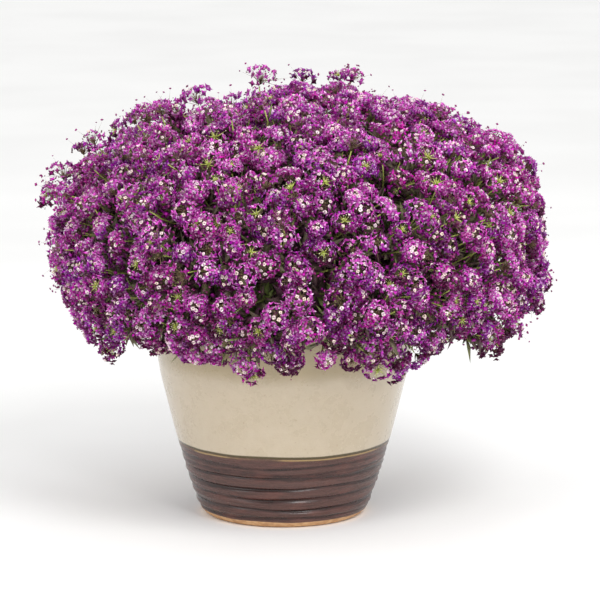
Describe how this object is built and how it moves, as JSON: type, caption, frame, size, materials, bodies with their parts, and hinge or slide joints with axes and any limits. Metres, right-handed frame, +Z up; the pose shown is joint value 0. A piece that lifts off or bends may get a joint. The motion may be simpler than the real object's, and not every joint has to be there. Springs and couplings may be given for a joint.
{
  "type": "potted sweet alyssum",
  "caption": "Round mound of small purple flower heads that fills and overhangs a tapered, glazed round pot with a ridged brown band above its foot.",
  "frame": {"origin": "centre of the pot's flat base, on the surface that it stands on", "axes": "+Z up along the pot's axis, -Y towards the side that the picture shows, +X to that view's right"},
  "size_m": [0.4494, 0.4609, 0.3876],
  "materials": {
    "pot_glaze": "gloss",
    "pot_brown": "satin",
    "potting_soil": "matte",
    "flowers": "matte",
    "leaves": "matte",
    "stems": "satin"
  },
  "bodies": {
    "root": {"pot": "pot_glaze", "soil": "potting_soil", "spray_01": "flowers", "spray_02": "flowers", "spray_03": "flowers", "spray_04": "flowers", "spray_05": "flowers", "spray_06": "flowers", "spray_07": "flowers", "spray_08": "flowers", "spray_09": "flowers", "spray_10": "flowers", "spray_11": "flowers", "spray_12": "flowers", "spray_13": "flowers", "spray_14": "flowers", "spray_15": "flowers", "spray_16": "flowers", "spray_17": "flowers", "spray_18": "flowers", "spray_19": "flowers", "spray_20": "flowers", "spray_21": "flowers", "spray_22": "flowers", "spray_23": "flowers", "spray_24": "flowers", "spray_25": "flowers", "spray_26": "flowers", "spray_27": "flowers", "spray_28": "flowers", "spray_29": "flowers", "spray_30": "flowers", "spray_31": "flowers", "spray_32": "flowers", "spray_33": "flowers", "spray_34": "flowers", "spray_35": "flowers", "spray_36": "flowers", "spray_37": "flowers", "spray_38": "flowers", "spray_39": "flowers", "spray_40": "flowers", "spray_41": "flowers", "spray_42": "flowers", "spray_43": "flowers", "spray_44": "flowers", "spray_45": "flowers", "spray_46": "flowers", "spray_47": "flowers", "spray_48": "flowers"}
  },
  "joints": []
}
